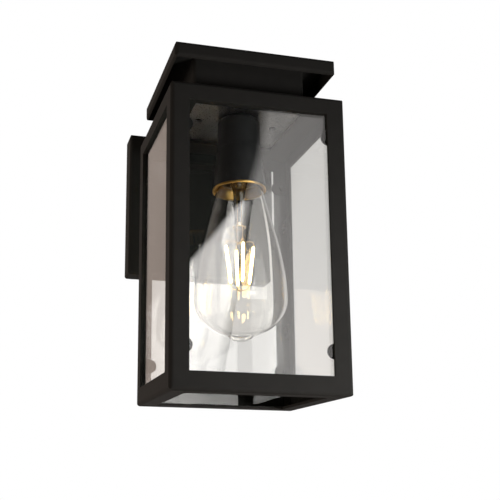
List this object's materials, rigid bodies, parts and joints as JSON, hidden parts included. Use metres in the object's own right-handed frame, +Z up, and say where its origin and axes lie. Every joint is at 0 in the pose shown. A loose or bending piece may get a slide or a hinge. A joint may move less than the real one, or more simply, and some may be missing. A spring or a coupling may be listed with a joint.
{
  "type": "outdoor wall lantern",
  "caption": "Wall lantern: open-bottomed glazed steel cage with a small flat roof on a neck, carried by a short arm on a wall box, with a screw-in filament bulb.",
  "frame": {"origin": "middle of the two wall screw slots, in the plane of the wall", "axes": "+X to the viewer's right, +Y into the wall, +Z up; the front faces -Y"},
  "size_m": [0.122, 0.16, 0.2325],
  "materials": {
    "powder_coat": "fine-textured matt black powder coat",
    "zinc_steel": "bright zinc plate",
    "grommet_rubber": "soft matt rubber",
    "brass": "plain brass",
    "brass_ring": "satin gold-coloured brass",
    "terminal_plastic": "natural moulded plastic",
    "window_glass": "clear float glass",
    "holder_plastic": "black phenolic, semi-gloss",
    "ceramic": "unglazed steatite",
    "wire_brown": "silicone sleeving",
    "wire_blue": "silicone sleeving",
    "wire_green": "silicone sleeving, green and yellow",
    "bulb_glass": "thin clear blown glass",
    "cap_metal": "rolled brass shell",
    "cap_insulator": "black glass insulator",
    "solder": "dull solder",
    "stem_glass": "clear stem glass",
    "led_filament": "warm white glowing phosphor",
    "support_wire": "drawn nickel wire"
  },
  "bodies": {
    "lantern": {"post_front_left": "powder_coat", "post_front_right": "powder_coat", "post_back_left": "powder_coat", "post_back_right": "powder_coat", "bottom_rail_front": "powder_coat", "bottom_rail_back": "powder_coat", "bottom_rail_left": "powder_coat", "bottom_rail_right": "powder_coat", "top_rail_front": "powder_coat", "top_rail_back": "powder_coat", "top_rail_left": "powder_coat", "top_rail_right": "powder_coat", "top_plate": "powder_coat", "neck": "powder_coat", "roof": "powder_coat", "holder_plate": "zinc_steel", "arm": "powder_coat", "arm_end_plate": "zinc_steel", "arm_screws": "zinc_steel", "cable_grommet": "grommet_rubber", "backplate": "powder_coat", "backplate_hooks": "powder_coat", "wall_bracket": "zinc_steel", "bracket_foot": "zinc_steel", "backplate_screw": "powder_coat", "earth_screw": "brass", "terminal_block": "terminal_plastic", "terminal_inserts": "brass", "terminal_screws": "zinc_steel", "glass_front": "window_glass", "glass_back": "window_glass", "glass_left": "window_glass", "glass_right": "window_glass", "clips_front": "powder_coat", "clips_back": "powder_coat", "clips_side": "powder_coat", "clip_studs": "powder_coat", "clip_nuts": "powder_coat", "holder_body": "holder_plastic", "holder_ring": "brass_ring", "holder_thread": "brass", "holder_insulator": "ceramic", "holder_contact": "brass", "holder_terminals": "brass", "holder_nipple": "zinc_steel", "holder_nuts": "zinc_steel", "wire_live": "wire_brown", "wire_neutral": "wire_blue", "wire_earth": "wire_green"},
    "lamp_contact": {"bulb_contact": "solder"},
    "bulb": {"bulb_glass": "bulb_glass", "bulb_cap": "cap_metal", "bulb_insulator": "cap_insulator", "bulb_stem": "stem_glass", "bulb_filaments": "led_filament", "bulb_supports": "support_wire"}
  },
  "joints": [
    {"name": "bulb_travel", "type": "slide", "parent": "lantern", "child": "lamp_contact", "axis": [0, 0, -1], "range_m": [0, 0.0182]},
    {"name": "bulb_unscrew", "type": "hinge", "parent": "lamp_contact", "child": "bulb", "pos_m": [0, -0.114, -0.03], "axis": [0, 0, -1], "range_deg": [0, 1800]}
  ],
  "couplings": [
    {"joint": "bulb_travel", "follows": "bulb_unscrew", "m_per_rad": 0.00057757}
  ]
}
